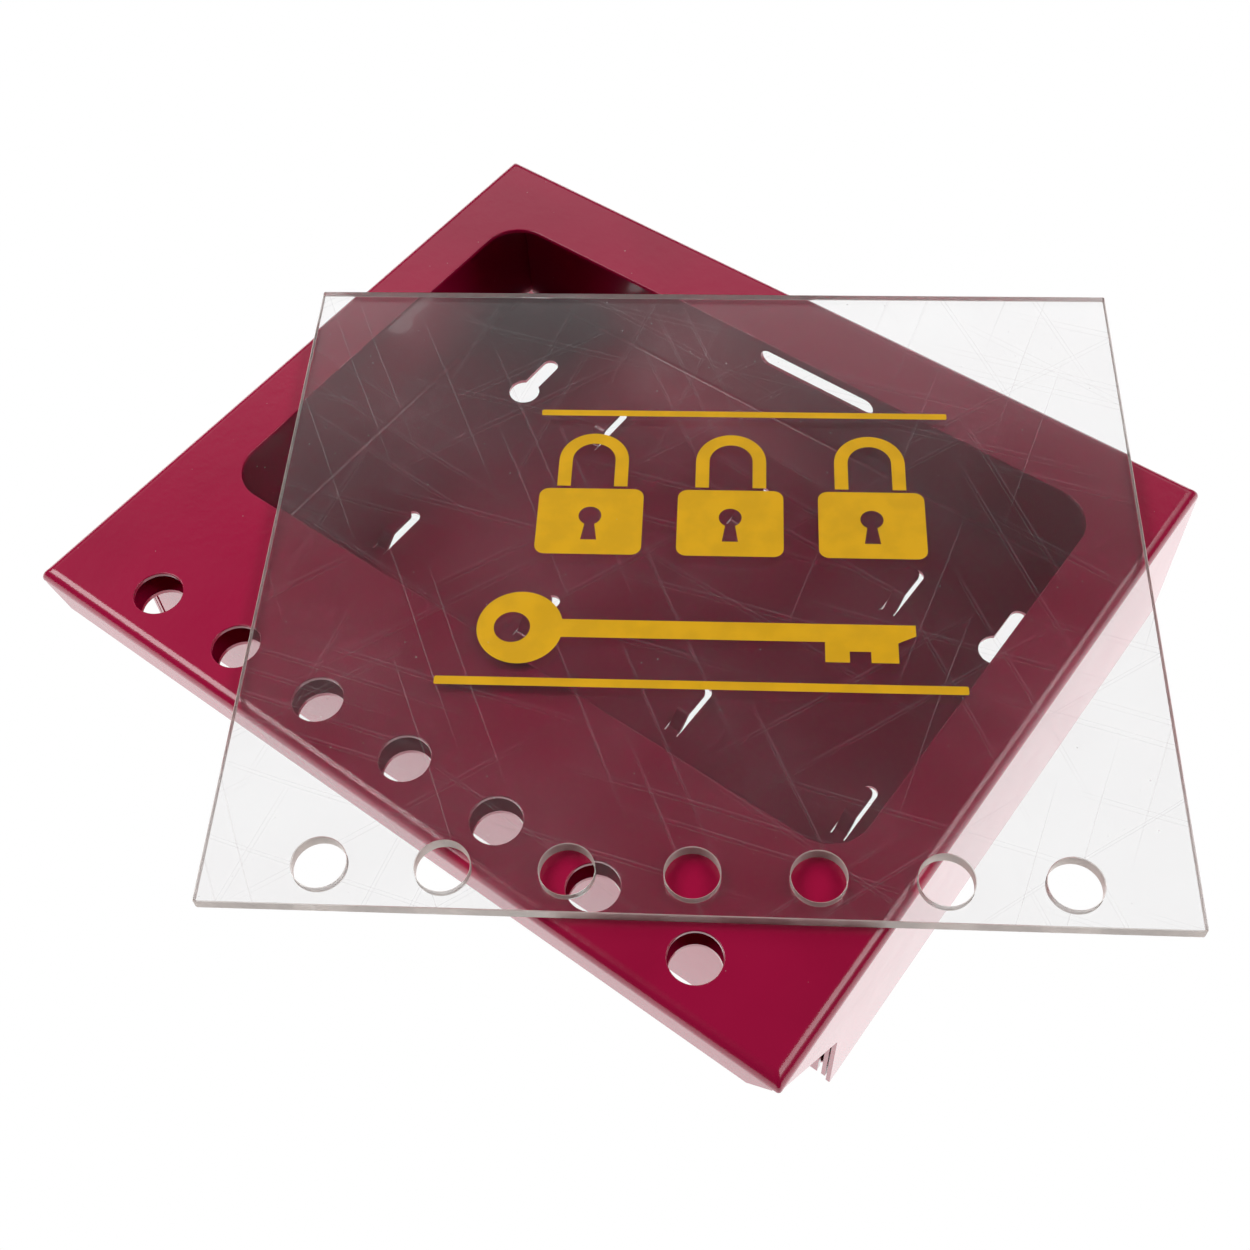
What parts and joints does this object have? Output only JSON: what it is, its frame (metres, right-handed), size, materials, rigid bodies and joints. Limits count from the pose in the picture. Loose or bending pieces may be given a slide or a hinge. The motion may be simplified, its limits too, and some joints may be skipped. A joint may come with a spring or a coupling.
{
  "type": "group lockout box",
  "caption": "Wall-hung folded steel lockout box: windowed front shell, tray with lanced key hooks and padlock rail, and a clear cover laid on its face.",
  "frame": {"origin": "centre of the tray's flat rear face, the side that hangs against a wall", "axes": "+Z out of the box's face, +Y up the box as it hangs, +X to the right seen from the front; the box lies on its back"},
  "size_m": [0.3957, 0.3845, 0.0813],
  "materials": {
    "crimson_coat": "gloss crimson powder coat over steel sheet",
    "clear_acrylic": "clear cast acrylic, lightly scratched, with a yellow print"
  },
  "bodies": {
    "tray": {"tray_back": "crimson_coat", "tray_rail": "crimson_coat", "tray_top": "crimson_coat", "tray_left": "crimson_coat", "tray_right": "crimson_coat"},
    "shell": {"shell_face": "crimson_coat", "shell_top": "crimson_coat", "shell_left": "crimson_coat", "shell_right": "crimson_coat"},
    "cover": {"clear_cover": "clear_acrylic"}
  },
  "joints": [
    {"name": "shell_lift", "type": "slide", "parent": "tray", "child": "shell", "axis": [0, 0, 1], "range_m": [0, 0.1]},
    {"name": "cover_lift", "type": "slide", "parent": "shell", "child": "cover", "axis": [0, 0, 1], "range_m": [0, 0.1]}
  ]
}
